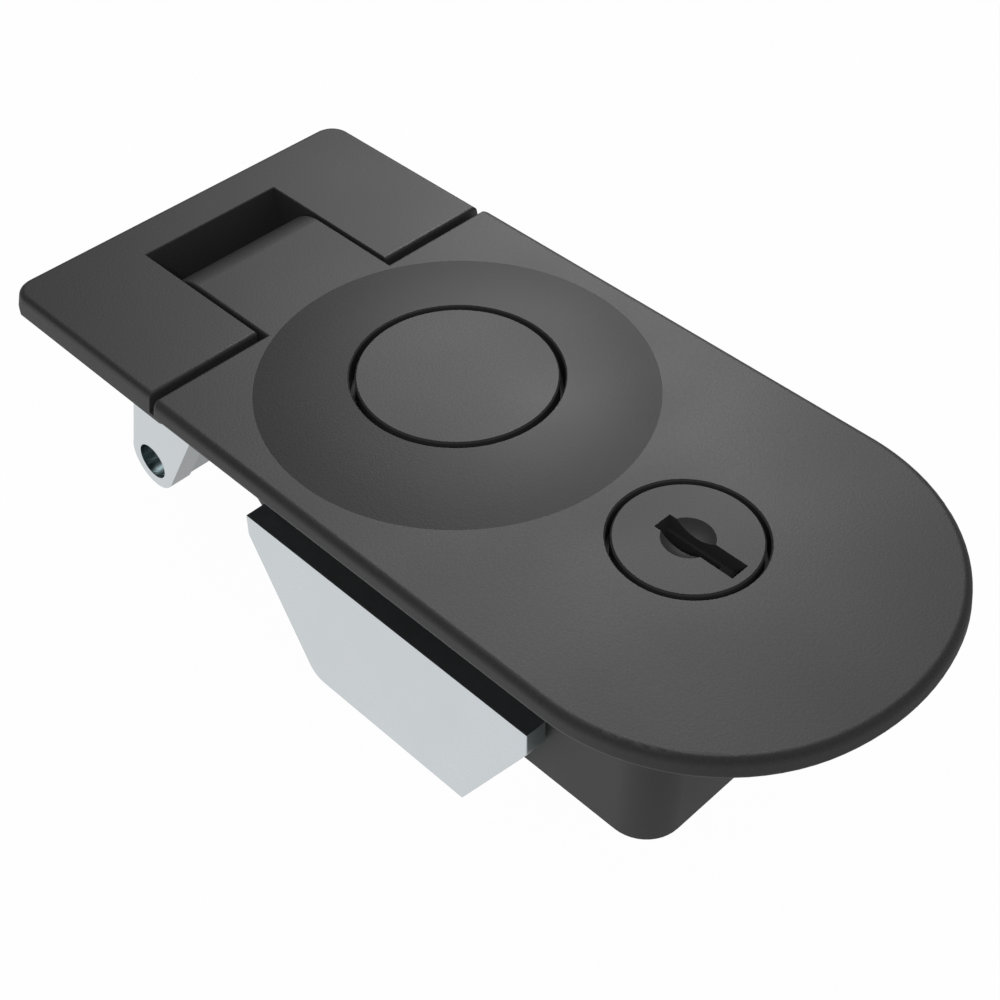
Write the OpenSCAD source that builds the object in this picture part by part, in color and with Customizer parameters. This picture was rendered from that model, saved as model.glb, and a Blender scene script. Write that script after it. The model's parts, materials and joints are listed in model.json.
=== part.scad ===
// Flush lever latch with a push button, a key lock and a clamped pawl.
// Origin: on the button's axis, in the plane of the panel's outer face.
// +X runs to the lever's round end, +Z points out of the panel.

/* [Outline] */
// Width across the lever
width = 56.9; // [54:0.1:60]
// How far the frame's sides stand back from the lever's
frame_inset = 0.35; // [0:0.05:0.6]
// From the button's axis to the frame's square end
frame_reach = 55.2; // [53.5:0.1:58]
// From the button's axis to the centre of the lever's round end
round_x = 38.7; // [38:0.1:44]
// How much larger the radius of that end is than half the width
end_swell = 1.25; // [0:0.05:3]
// From the button's axis to the middle of the slot between frame and lever
slot_x = 24.5; // [24:0.1:25]
// Width of that slot
slot_gap = 1.2; // [1.1:0.05:1.6]
// Radius of the frame's corners
corner_r = 2.2; // [2:0.1:6]
// Radius of the upper edges
edge_r = 1; // [0.6:0.05:1.1]
// Radius of the upper edges along the slot
slot_r = 0.5; // [0.2:0.05:0.6]
// Radius of the tongue's edges
tongue_r = 0.3; // [0.1:0.05:0.5]
// Bevel of the button and the lock
bevel = 0.2; // [0.1:0.05:0.4]

/* [Heights] */
// Thickness of the gasket
gasket_t = 1.2; // [1:0.1:2]
// Thickness of the frame
frame_t = 3.2; // [3:0.1:4]
// Thickness of the lever at its edge
lever_t = 2.4; // [2.2:0.05:2.5]
// Thickness of the lever's top wall
lever_skin = 1.5; // [1.3:0.05:1.5]
// Thickness of the lever's rim
rim_w = 1.8; // [1.4:0.1:2]
// Thickness of the frame's ledge below the slot
ledge_t = 0.6; // [0.4:0.05:0.7]
// How far the ledge reaches past the slot, under the lever
ledge_reach = 1.5; // [1:0.1:1.6]

/* [Dome and button] */
// Radius of the dome
dome_r = 25; // [22:0.1:25.5]
// Height of the dome's full cap
dome_rise = 2.46; // [1.5:0.02:3]
// Radius of the button
button_r = 12.5; // [11.5:0.1:12.6]
// Gap around the button
button_gap = 0.7; // [0.5:0.05:1]
// Travel of the button
button_travel = 3; // [2:0.1:3]

/* [Lock] */
// From the button's axis to the lock's axis
lock_x = 37; // [36:0.1:38]
// Radius of the lock's face
lock_r = 8.75; // [8:0.05:9]
// Gap around the lock's face
lock_gap = 0.55; // [0.4:0.05:0.9]
// Length of the key slot
key_l = 11.4; // [9:0.1:12]
// Width of the key slot
key_w = 2.7; // [2:0.1:3]
// Radius of the dimple around the key slot
dimple_r = 3.2; // [2.5:0.1:3.6]
// Length of the locking arm
cam_l = 12.5; // [12:0.1:13]

/* [Hinge and pawl] */
// From the frame's square end to the hinge's axis
hinge_in = 17.4; // [17:0.1:18.4]
// Radius of the hinge knuckle
knuckle_r = 7; // [6.6:0.1:7.3]
// Width of the lever's tongue
tongue_w = 20.9; // [18:0.1:21]
// Gap beside the tongue
tongue_gap = 0.55; // [0.5:0.05:0.9]
// From the frame's square end to its notch
notch_in = 6.95; // [6:0.05:7.5]
// Radius of the hinge shaft
shaft_r = 3; // [2.5:0.1:3.3]
// Thickness of the pawl's ears
ear_t = 3.5; // [2.5:0.1:4]
// Radius of the pawl's tip
tip_r = 4.5; // [4:0.1:5]
// Radius of the bore in the pawl's tip
tip_bore_r = 2.8; // [2:0.1:3.2]

/* [Housing] */
// From the tub's side walls out to the lever's edge
side_shelf = 6.05; // [5.6:0.05:6.6]
// From the tub's end wall out to the lever's round end
end_shelf = 15.8; // [15:0.1:16.4]
// Depth of the tub below the panel's face
tub_d = 18; // [16.2:0.1:20]
// Radius of the tub's corners
tub_r = 5; // [3:0.1:6]
// Thickness of the tub's walls
wall_t = 1.6; // [1.2:0.1:1.8]
// Slope of the tub's front wall, in degrees
ramp_angle = 43; // [42:0.5:45]
// From the button's axis back to the foot of that wall
ramp_foot = 3.1; // [3:0.1:4]

/* [Clamp bracket] */
// Thickness of the bracket
bracket_t = 3.1; // [2:0.1:3.2]
// Width of the legs at the top
leg_top_l = 48.2; // [40:0.1:50]
// Width of the legs at the foot
leg_foot_l = 27; // [24:0.1:32]
// Height of the legs
leg_h = 21.7; // [20:0.1:26]
// Height of the legs' straight shoulder
shoulder_h = 3.4; // [2:0.1:5]
// Radius of the legs' rounded lower corner
leg_r = 3; // [1:0.1:5]
// From the panel's face to the top of the legs, before clamping
grip = 7.5; // [7:0.1:10]
// How far the screws can draw the bracket up
clamp_travel = 5.8; // [3:0.1:5.8]

/* [Hidden] */

$fn = 64;
eps = 0.01;
// Overlap by which a cut or a joined piece runs past a face
past = 0.5;
// Clearances: close fit, running fit, loose fit and room between pieces that pass each other
fit_close = 0.02;
fit_run = 0.06;
fit_loose = 0.1;
fit_room = 0.3;

black = [0.24, 0.24, 0.24];
dark = [0.12, 0.12, 0.12];
zinc = [0.78, 0.8, 0.81];
steel = [0.62, 0.63, 0.65];

half_w = width / 2;
frame_half = half_w - frame_inset;
end_r = half_w + end_swell;
frame_z = gasket_t;
top_z = frame_z + frame_t;
lever_z = top_z - lever_t;
ceiling_z = top_z - lever_skin;
frame_edge_x = -slot_x - slot_gap / 2;
lever_edge_x = -slot_x + slot_gap / 2;

// Frame notch, tongue and hinge
notch_edge = 0.12;
hinge_x = frame_reach - hinge_in;
notch_reach = frame_reach - notch_in;
tongue_half = tongue_w / 2;
notch_half = tongue_half + tongue_gap;
hinge_z = top_z - knuckle_r;
trough_wall = 1.3;
trough_half = notch_half + trough_wall;
trough_floor_z = hinge_z - knuckle_r - 2 * fit_room;
trough_chamfer = 3;
seal_w = 2.2;
spring_slot_half = 4;
spring_arm = 5.2;
spring_room_r = knuckle_r - 1.7;
cheek_reach = 3;
cheek_t = 1;
cheek_angle = 35;

// Flange below the lever, and the panel's cut-out
flange_gap = 0.4;
flange_inset = rim_w + flange_gap;
flange_half = half_w - flange_inset;
flange_top_z = ceiling_z - flange_gap;
flange_x = lever_edge_x + rim_w + fit_room;
cutout_gap = 0.6;
gasket_inset = 0.4;

// Tub
tub_half = half_w - side_shelf;
tub_reach = round_x + end_r - end_shelf;
function ramp_x(z) = -ramp_foot - (z + tub_d) / tan(ramp_angle);
ramp_shift = wall_t / sin(ramp_angle);

// Button, its guide and its wedge
function dome_z(r) = top_z + sqrt(pow(dome_ball, 2) - r * r) - (dome_ball - dome_rise);
dome_ball = (pow(dome_r, 2) + pow(dome_rise, 2)) / (2 * dome_rise);
hole_r = button_r + button_gap;
button_top_z = dome_z(hole_r);
collar_r = hole_r + 1;
collar_t = 1.2;
collar_top_z = gasket_t + 0.3;
guide_wall = 1.5;
guide_r = collar_r + fit_room + guide_wall;
guide_z = collar_top_z - collar_t - button_travel + 0.5;
stem_x = 2.2;
stem_y = 2.5;
spring_seat_r = 7.6;
spring_seat_z = 2;

// Catch and its carrier
carrier_z = -5.4;
carrier_t = 1.5;
carrier_front = 6.5;
carrier_back = 11;
post_r = 2.6;
post_room = 0.9;
post_y = tub_half - wall_t - post_r - post_room;
catch_z = carrier_z - carrier_t - fit_room;
catch_t = 2.2;
catch_half = 6;
catch_front = 4;
catch_nose = 20.2;
nose_bevel = 1.4;
wedge_gap = 0.25;
spring_window_x = 8;
spring_window_l = 8;
rail_t = 1.6;
rail_lip = 1.2;
stop_l = 1.5;
stop_half = 1;
spring_window_half = 1.5;

// Keeper in the tub
keeper_lip_x = 18;
keeper_post_x = 21.2;
keeper_t = 2.8;
keeper_half = 5;
keeper_base_t = 1.6;
keeper_front = 16.5;
keeper_back = 30;
keeper_hole_x = [keeper_front + 2, keeper_back - 2.5];
keeper_head_r = 2;
keeper_head_h = 1.4;
pad_z = -13.2;
pad_edge = 1;
pad_floor = 1;
keeper_screw_l = keeper_base_t + pad_z + tub_d - pad_floor - fit_room;
lip_t = 1.6;
lip_bevel = 1.2;

// Lock
barrel_r = 7.95;
barrel_flange_t = 1;
barrel_flange_z = 0.2;
barrel_foot_z = -7;
plug_r = 5.5;
plug_foot_z = -8.9;
face_t = 2.5;
lock_boss_r = 10.6;
lock_boss_z = -3;
clip_t = 1.2;
clip_w = 1.6;
cam_t = 2;
cam_r = 5;
cam_tip_r = 2.6;
dimple_d = 1.2;
dimple_ball = (pow(dimple_r, 2) + pow(dimple_d, 2)) / (2 * dimple_d);
key_front = 3.9;
key_d = 2.2;
keyway_w = 1.9;
keyway_l = 8.2;
keyway_d = 6.5;
bar_z = plug_foot_z + 0.5;
bar_t = 1.5;
bar_l = 2.6;
bar_half = 6;

// Pawl, measured from the hinge's axis
ear_in = trough_half + 0.2;
ear_out = ear_in + ear_t;
tip_at = [-10.1, -27.2];
boss_r = 3.5;
ear_line = [[-2.5, 2.4], [-8.9, -3], [-14.45, -26.3], [-6.1, -29.3], [5.9, -7], [3.4, -1]];
web_line = [[-6.2, -29.2], [-2.6, -20.2], [-5.2, -19.6], [-6.9, -26.4], [-7.4, -29.6]];
drive_w = 4.2;

// Screws
m3_r = 1.5;
m3_head_r = 2.6;
m3_head_h = 1.8;
m3_l = 6;
shaft_head_r = 3;
socket_share = 0.58;
m5_r = 2.5;
m5_head_r = 4.4;
m5_head_h = 3.2;
washer_r = 5.4;
washer_t = 1;
clamp_at = [13, tub_half - 7.4];
clamp_boss_r = 4.6;
clamp_boss_z = -7.2;
clamp_cap = 1.3;
clamp_grip_l = 3;
clamp_play = 0.25;

// Bracket
leg_in = tub_half + 0.5;
leg_x = 13.25;
foot_z = -grip - leg_h;

// Helpers: extrude a profile along X or along Y, and place a thing on both sides
module along_x(from, to) {
    translate([from, 0, 0]) rotate([90, 0, 90]) linear_extrude(to - from) children();
}

module along_y(half) {
    rotate([90, 0, 0]) linear_extrude(2 * half, center = true) children();
}

module both_sides() {
    children();
    mirror([0, 1, 0]) children();
}

// Half of a plate's cross-section with a rounded upper edge
module half_section(w, t, r) {
    square([w, t - r]);
    square([w - r, t]);
    translate([w - r, t - r]) circle(r);
}

module full_section(w, t, r) {
    half_section(w, t, r);
    mirror([1, 0]) half_section(w, t, r);
}

// The lever's form: straight sides and an end of a slightly larger radius
module round_ended(t, r, from) {
    intersection() {
        along_x(from, round_x + end_r + past) full_section(half_w, t, r);
        union() {
            translate([from - past, -end_r, 0]) cube([round_x - from + past, 2 * end_r, t]);
            translate([round_x, 0, 0]) rotate_extrude() half_section(end_r, t, r);
        }
    }
}

// Outline of the same form, set back all round
module round_ended_outline(inset, from) {
    w = half_w - inset;
    intersection() {
        translate([from, -w]) square([round_x + end_r - from, 2 * w]);
        union() {
            translate([from - past, -end_r]) square([round_x - from + past, 2 * end_r]);
            translate([round_x, 0]) circle(end_r - inset);
        }
    }
}

// A strip that rounds off an upper edge along Y, with the wall on its +X side
module edge_cut(r) {
    along_y(width) difference() {
        translate([-past, -r]) square([r + past, r + past]);
        translate([r, -r]) circle(r);
    }
}

// Rectangle with its two corners at the +X end rounded
module round_cornered(from, to, half, r) {
    translate([from, -half]) square([to - r - from, 2 * half]);
    translate([from, -half + r]) square([to - from, 2 * (half - r)]);
    for (s = [-1, 1]) translate([to - r, s * (half - r)]) circle(r);
}

module ring(r_in, r_out, h) {
    difference() {
        cylinder(r = r_out, h = h);
        translate([0, 0, -past]) cylinder(r = r_in, h = h + 2 * past);
    }
}

// A disc on z = 0 with a bevelled upper edge, and the cut that bevels the edge of a hole at z = 0
module bevelled_disc(r, h) {
    cylinder(r = r, h = h - bevel);
    translate([0, 0, h - bevel - eps]) cylinder(r1 = r + eps, r2 = r - bevel, h = bevel + eps);
}

module hole_bevel(r) {
    translate([0, 0, -bevel]) cylinder(r1 = r, r2 = r + bevel + past, h = bevel + past);
}

// A roll along Y with rounded rims
module roll(r, half, edge) {
    rotate([90, 0, 0]) rotate_extrude() {
        translate([0, -half]) square([r - edge, 2 * half]);
        translate([0, edge - half]) square([r, 2 * (half - edge)]);
        for (s = [-1, 1]) translate([r - edge, s * (half - edge)]) circle(edge);
    }
}

// A round wire along a path; ref is a direction that the path never follows
function unit(v) = v / norm(v);
function run(path, i) = unit(path[min(i + 1, len(path) - 1)] - path[max(i - 1, 0)]);
module wire(path, r, ref) {
    sides = 8;
    rings = [for (i = [0:len(path) - 1])
        let (t = run(path, i), n = unit(cross(t, ref)), b = cross(t, n))
        for (k = [0:sides - 1]) path[i] + r * (n * cos(k * 360 / sides) + b * sin(k * 360 / sides))];
    last = (len(path) - 1) * sides;
    faces = concat(
        [[for (k = [0:sides - 1]) k]],
        [[for (k = [sides - 1:-1:0]) last + k]],
        [for (i = [0:len(path) - 2], k = [0:sides - 1])
            let (a = i * sides + k, b = i * sides + (k + 1) % sides) [a, a + sides, b + sides, b]]);
    polyhedron(points = rings, faces = faces);
}

// Points of a coil about +Z
function coil(r, h, turns) = [for (i = [0:turns * 12])
    [r * cos(i * 30), r * sin(i * 30), h * i / (turns * 12)]];

// A screw along +Z with its head below z = 0
module screw(r, length, head_r, head_h) {
    translate([0, 0, -eps]) cylinder(r = r, h = length + eps);
    difference() {
        translate([0, 0, -head_h]) cylinder(r = head_r, h = head_h);
        translate([0, 0, -head_h - past])
            cylinder(r = head_r * socket_share, h = head_h / 2 + past, $fn = 6);
    }
}

// The frame: a plate with a square end, rounded corners and a notch for the tongue
module frame_plate() {
    inner_x = -frame_reach + corner_r;
    translate([0, 0, frame_z]) {
        along_x(inner_x, frame_edge_x) full_section(frame_half, frame_t, edge_r);
        translate([inner_x, 0, 0]) mirror([1, 0, 0]) along_y(frame_half - corner_r)
            half_section(corner_r, frame_t, edge_r);
        both_sides() translate([inner_x, frame_half - corner_r, 0]) rotate([0, 0, 90])
            rotate_extrude(angle = 90) half_section(corner_r, frame_t, edge_r);
    }
}

// The bevel around the notch's upper edge
module notch_bevel() {
    low = top_z - notch_edge;
    rise = notch_edge + past;
    intersection() {
        along_x(-frame_reach, frame_edge_x + past) polygon([[-notch_half, low], [notch_half, low],
            [notch_half + rise, low + rise], [-notch_half - rise, low + rise]]);
        along_y(half_w) polygon([[-notch_reach, low], [0, low], [0, low + rise],
            [-notch_reach - rise, low + rise]]);
    }
}

// The flange below the lever, with the ledge that closes the slot
module flange() {
    ledge_x = lever_edge_x + ledge_reach;
    translate([0, 0, frame_z]) {
        linear_extrude(ledge_t) round_cornered(frame_edge_x - past, ledge_x, frame_half, edge_r);
        linear_extrude(ledge_t) translate([frame_edge_x, -flange_half])
            square([flange_x - frame_edge_x + past, 2 * flange_half]);
        linear_extrude(flange_top_z - frame_z) round_ended_outline(flange_inset, flange_x);
    }
}

module tub_form(inset, top) {
    floor_z = -tub_d + inset;
    shift = inset / sin(ramp_angle);
    intersection() {
        translate([0, 0, floor_z]) linear_extrude(top - floor_z)
            round_cornered(ramp_x(top) + shift - past, tub_reach - inset, tub_half - inset, tub_r - inset);
        along_y(half_w) polygon([[ramp_x(top) + shift, top], [ramp_x(floor_z) + shift, floor_z],
            [tub_reach + past, floor_z], [tub_reach + past, top]]);
    }
}

// The trough that the knuckle turns in, open to the tub
module trough_form(inset, half, top, back) {
    left = -notch_reach - wall_t + inset;
    floor_z = trough_floor_z - wall_t + inset;
    step_z = hinge_z - wall_t + inset;
    along_y(half) polygon([[left, top], [left, floor_z + trough_chamfer], [left + trough_chamfer, floor_z],
        [-hinge_x + knuckle_r - inset / 2, floor_z], [flange_x - inset / 2, step_z],
        [back, step_z], [back, top]]);
}

module housing() {
    color(black) difference() {
        union() {
            difference() {
                union() {
                    frame_plate();
                    flange();
                    tub_form(0, frame_z + past);
                    trough_form(0, trough_half, frame_z + past, ramp_x(hinge_z) + wall_t);
                }
                tub_form(wall_t, flange_top_z + past);
            }
            // Pad for the keeper, bosses for the clamp screws and the bar that the locking arm turns under
            translate([keeper_front - pad_edge, -keeper_half - pad_edge, -tub_d + eps])
                cube([keeper_back - keeper_front + 2 * pad_edge, 2 * (keeper_half + pad_edge),
                    pad_z + tub_d - eps]);
            both_sides() translate([clamp_at.x, clamp_at.y, -tub_d])
                cylinder(r = clamp_boss_r, h = clamp_boss_z + tub_d);
            translate([tub_reach - wall_t - bar_l, -bar_half, bar_z])
                cube([bar_l + eps, 2 * bar_half, bar_t]);
        }
        // Notch and trough
        trough_form(wall_t, notch_half, top_z + past, ramp_x(hinge_z) + 2 * ramp_shift);
        notch_bevel();
        translate([frame_edge_x, 0, top_z]) mirror([1, 0, 0]) edge_cut(slot_r);
        // Bores: hinge shaft, clamp screws and keeper screws
        translate([-hinge_x, 0, hinge_z]) rotate([90, 0, 0])
            cylinder(r = shaft_r + fit_run, h = width, center = true);
        both_sides() translate([clamp_at.x, clamp_at.y, -tub_d - past])
            cylinder(r = m5_r + fit_run, h = clamp_boss_z - clamp_cap + tub_d + past);
        for (x = keeper_hole_x)
            translate([x, 0, -tub_d + pad_floor]) cylinder(r = m3_r + fit_run, h = tub_d);
    }
}

module gasket() {
    half = flange_half - gasket_inset;
    color(dark) linear_extrude(gasket_t) difference() {
        union() {
            round_ended_outline(flange_inset + gasket_inset, -past);
            mirror([1, 0]) round_cornered(-past, frame_reach - 3 * gasket_inset, half, corner_r - 1);
        }
        round_cornered(-notch_reach - wall_t - cutout_gap, tub_reach + cutout_gap, tub_half + cutout_gap,
            tub_r + cutout_gap);
    }
}

module lever() {
    color(black) difference() {
        union() {
            difference() {
                translate([0, 0, lever_z]) difference() {
                    round_ended(lever_t, edge_r, lever_edge_x);
                    translate([lever_edge_x, 0, lever_t]) edge_cut(slot_r);
                }
                translate([0, 0, lever_z - past]) linear_extrude(lever_t - lever_skin + past)
                    round_ended_outline(rim_w, lever_edge_x + rim_w);
            }
            dome();
            tongue();
            // Guide of the button, posts of the carrier and boss of the lock
            translate([0, 0, guide_z]) cylinder(r = guide_r, h = ceiling_z - guide_z + eps);
            both_sides() translate([0, post_y, carrier_z])
                cylinder(r = post_r, h = ceiling_z - carrier_z + eps);
            translate([lock_x, 0, lock_boss_z]) cylinder(r = lock_boss_r, h = ceiling_z - lock_boss_z + eps);
        }
        translate([0, 0, guide_z - past])
            cylinder(r = collar_r + fit_room, h = collar_top_z + fit_loose - guide_z + past);
        cylinder(r = hole_r, h = top_z + dome_rise + past);
        translate([0, 0, button_top_z]) hole_bevel(hole_r);
        both_sides() translate([0, post_y, carrier_z - past]) cylinder(r = m3_r + fit_run, h = m3_l + past);
        translate([lock_x, 0, barrel_flange_z]) cylinder(r = lock_r + lock_gap, h = top_z);
        translate([lock_x, 0, top_z]) hole_bevel(lock_r + lock_gap);
        translate([lock_x, 0, lock_boss_z - past]) cylinder(r = barrel_r + fit_run, h = top_z);
        translate([-hinge_x, 0, hinge_z]) rotate([90, 0, 0])
            cylinder(r = shaft_r + fit_close, h = width, center = true);
    }
}

module dome() {
    intersection() {
        translate([0, 0, top_z + dome_rise - dome_ball]) sphere(dome_ball, $fn = 128);
        translate([0, 0, ceiling_z]) cylinder(r = dome_r, h = lever_skin + dome_rise);
    }
}

// The tongue ends in a knuckle; two cheeks carry it, with room for the spring between them
module tongue() {
    under = knuckle_r - lever_t;
    cheek_l = hinge_x - slot_x + cheek_reach;
    cheek = [[0, under + past], [cheek_l, under + past], [cheek_l, under - cheek_t],
        [knuckle_r * cos(cheek_angle), -knuckle_r * sin(cheek_angle)], [0, 0]];
    translate([-hinge_x, 0, hinge_z]) difference() {
        union() {
            roll(knuckle_r, tongue_half, tongue_r);
            translate([0, 0, under]) along_x(0, hinge_x + lever_edge_x + rim_w)
                full_section(tongue_half, lever_t, tongue_r);
            along_y(tongue_half - tongue_r) polygon(cheek);
        }
        along_y(spring_slot_half) {
            circle(spring_room_r);
            translate([0, -2 * knuckle_r]) square([hinge_x, 3 * knuckle_r - lever_t]);
        }
    }
}

module pivot_shaft() {
    color(steel) translate([-hinge_x, 0, hinge_z]) rotate([90, 0, 0]) difference() {
        union() {
            cylinder(r = shaft_r, h = 2 * (ear_in - fit_loose), center = true);
            cube([drive_w, drive_w, 2 * (ear_out - fit_loose)], center = true);
        }
        for (s = [0, 180]) rotate([s, 0, 0]) translate([0, 0, ear_out - m3_l])
            cylinder(r = m3_r + fit_run, h = m3_l);
    }
}

module shaft_screws() {
    color(steel) both_sides() translate([-hinge_x, ear_out + fit_loose, hinge_z]) rotate([90, 0, 0])
        screw(m3_r, m3_l - 1, shaft_head_r, m3_head_h);
}

module shaft_seals() {
    color(dark) both_sides() translate([-hinge_x, notch_half - fit_loose, hinge_z]) rotate([90, 0, 0])
        ring(shaft_r + fit_run, shaft_r + seal_w, tongue_gap - 2 * fit_loose);
}

module lever_spring() {
    wire_r = 0.45;
    coil_r = (shaft_r + spring_room_r) / 2;
    turns = 4;
    span = 2 * spring_slot_half - 4 * wire_r;
    up = [coil_r, knuckle_r - lever_t - 2 * wire_r, 0];
    wound = [for (p = coil(coil_r, span, turns + 0.75)) [p.x, p.y, p.z]];
    foot = [coil_r + spring_arm, -coil_r, span];
    path = concat([up], wound, [foot]);
    color(steel) translate([-hinge_x, span / 2, hinge_z]) rotate([90, 0, 0]) wire(path, wire_r, [0, 0, 1]);
}

module pawl() {
    color(zinc) translate([-hinge_x, 0, hinge_z]) difference() {
        union() {
            both_sides() translate([0, ear_in + ear_t / 2, 0]) along_y(ear_t / 2) {
                circle(boss_r);
                polygon(ear_line);
                translate(tip_at) circle(tip_r);
            }
            along_y(ear_in + eps) polygon(web_line);
        }
        cube([drive_w + fit_loose, width, drive_w + fit_loose], center = true);
        translate([tip_at.x, 0, tip_at.y]) rotate([90, 0, 0])
            cylinder(r = tip_bore_r, h = width, center = true);
    }
}

module button() {
    color(black) difference() {
        union() {
            translate([0, 0, collar_top_z - collar_t]) cylinder(r = collar_r, h = collar_t);
            translate([0, 0, collar_top_z - eps]) bevelled_disc(button_r, button_top_z - collar_top_z + eps);
        }
        translate([0, 0, -past]) cylinder(r = spring_seat_r, h = spring_seat_z + past);
    }
    // The stem ends in a wedge that draws the catch back
    color(black) along_y(stem_y) polygon([[-stem_x, spring_seat_z + past], [-stem_x, catch_z],
        [stem_x, catch_z - 2 * stem_x], [stem_x, spring_seat_z + past]]);
}

module button_seal() {
    color(dark) translate([0, 0, lever_z]) ring(button_r + fit_loose, hole_r - fit_run, collar_t);
}

module button_spring() {
    wire_r = 0.45;
    low = carrier_z + wire_r + fit_loose;
    color(steel) translate([0, 0, low])
        wire(coil(spring_seat_r - 2.2, spring_seat_z - low - wire_r - fit_loose, 4.5), wire_r, [0, 0, 1]);
}

module catch_carrier() {
    rail_in = catch_half + fit_room;
    rail_z = catch_z - catch_t - fit_room;
    low = carrier_z - carrier_t;
    color(dark) difference() {
        union() {
            translate([-carrier_front, -post_y - post_r, low])
                cube([carrier_front + carrier_back, 2 * (post_y + post_r), carrier_t]);
            both_sides() {
                translate([-catch_front, rail_in, rail_z - rail_lip])
                    cube([catch_front + carrier_back, rail_t, low - rail_z + rail_lip + eps]);
                translate([-catch_front, rail_in - rail_lip, rail_z - rail_lip])
                    cube([catch_front + carrier_back, rail_t, rail_lip]);
            }
            // Stop for the catch's spring
            translate([spring_window_x + fit_room, -stop_half, catch_z - catch_t])
                cube([stop_l, 2 * stop_half, catch_t + fit_room + eps]);
        }
        translate([-stem_x - fit_room, -stem_y - fit_room, low - past])
            cube([2 * (stem_x + fit_room), 2 * (stem_y + fit_room), carrier_t + 2 * past]);
        both_sides() translate([0, post_y, low - past])
            cylinder(r = m3_r + fit_loose, h = carrier_t + 2 * past);
    }
}

module carrier_screws() {
    color(steel) both_sides() translate([0, post_y, carrier_z - carrier_t])
        screw(m3_r, m3_l, m3_head_r, m3_head_h);
}

module catch() {
    low = catch_z - catch_t;
    window_back = stem_x + button_travel + fit_room;
    color(steel) difference() {
        along_y(catch_half) polygon([[-catch_front, low], [catch_nose - nose_bevel, low],
            [catch_nose, low + nose_bevel], [catch_nose, catch_z], [-catch_front, catch_z]]);
        along_y(stem_y + fit_room) polygon([[-stem_x - wedge_gap - past, catch_z + past],
            [window_back, catch_z + past], [window_back, low - past],
            [-stem_x - wedge_gap + catch_t + past, low - past]]);
        translate([spring_window_x, -spring_window_half, low - past])
            cube([spring_window_l, 2 * spring_window_half, catch_t + 2 * past]);
    }
}

module catch_spring() {
    wire_r = 0.22;
    start = spring_window_x + fit_room + stop_l + wire_r + fit_loose;
    stop = spring_window_x + spring_window_l - wire_r - fit_loose;
    color(steel) translate([start, 0, catch_z - catch_t / 2]) rotate([0, 90, 0])
        wire(coil(0.8, stop - start, 6), wire_r, [0, 0, 1]);
}

module keeper() {
    lip_z = catch_z + fit_room;
    post_back = keeper_post_x + keeper_t;
    base_z = pad_z + keeper_base_t;
    color(zinc) difference() {
        along_y(keeper_half) polygon([[keeper_front, pad_z], [keeper_back, pad_z], [keeper_back, base_z],
            [post_back, base_z], [post_back, lip_z + lip_t], [keeper_lip_x + lip_bevel, lip_z + lip_t],
            [keeper_lip_x, lip_z + lip_t - lip_bevel], [keeper_lip_x, lip_z], [keeper_post_x, lip_z],
            [keeper_post_x, base_z], [keeper_front, base_z]]);
        for (x = keeper_hole_x)
            translate([x, 0, pad_z - past]) cylinder(r = m3_r + fit_loose, h = keeper_base_t + 2 * past);
    }
}

module keeper_screws() {
    color(steel) for (x = keeper_hole_x)
        translate([x, 0, pad_z + keeper_base_t]) mirror([0, 0, 1])
            screw(m3_r, keeper_screw_l, keeper_head_r, keeper_head_h);
}

module lock_barrel() {
    color(zinc) translate([lock_x, 0, 0]) difference() {
        union() {
            translate([0, 0, barrel_foot_z])
                cylinder(r = barrel_r, h = barrel_flange_z - barrel_foot_z + eps);
            translate([0, 0, barrel_flange_z])
                cylinder(r = lock_r + lock_gap - fit_loose, h = barrel_flange_t);
        }
        translate([0, 0, barrel_foot_z - past]) cylinder(r = plug_r + fit_run, h = top_z - barrel_foot_z);
        translate([0, 0, lock_boss_z - clip_t - fit_loose])
            ring(barrel_r - clip_w / 2, barrel_r + past, clip_t);
    }
}

module lock_clip() {
    color(steel) translate([lock_x, 0, lock_boss_z - clip_t - fit_loose]) difference() {
        ring(barrel_r - clip_w / 2 + fit_run, barrel_r + clip_w / 2, clip_t);
        translate([0, -clip_w, -past]) cube([2 * barrel_r, 2 * clip_w, clip_t + 2 * past]);
    }
}

module lock_seal() {
    low = barrel_flange_z + barrel_flange_t + fit_run;
    color(dark) translate([lock_x, 0, low])
        ring(plug_r + 2 * fit_room, lock_r + lock_gap - fit_loose, top_z - face_t - low - fit_run);
}

module lock_plug() {
    color(black) translate([lock_x, 0, 0]) difference() {
        union() {
            translate([0, 0, top_z - face_t]) bevelled_disc(lock_r, face_t);
            translate([0, 0, plug_foot_z]) cylinder(r = plug_r, h = top_z - face_t - plug_foot_z + eps);
        }
        translate([0, 0, top_z - dimple_d + dimple_ball]) sphere(dimple_ball);
        translate([-key_front, -key_w / 2, top_z - key_d]) cube([key_l, key_w, key_d + past]);
        translate([-key_front, -keyway_w / 2, top_z - keyway_d]) cube([keyway_l, keyway_w, keyway_d]);
        translate([0, 0, plug_foot_z - past]) cylinder(r = m3_r + fit_run, h = m3_l + past);
    }
}

module lock_cam() {
    color(zinc) translate([lock_x, 0, plug_foot_z - cam_t]) linear_extrude(cam_t) difference() {
        union() {
            circle(cam_r);
            translate([-cam_tip_r, -cam_l + cam_tip_r]) square([2 * cam_tip_r, cam_l - cam_tip_r]);
            translate([0, -cam_l + cam_tip_r]) circle(cam_tip_r);
        }
        circle(m3_r + fit_loose);
    }
}

module cam_screw() {
    color(steel) translate([lock_x, 0, plug_foot_z - cam_t]) screw(m3_r, m3_l, m3_head_r, m3_head_h);
}

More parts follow.
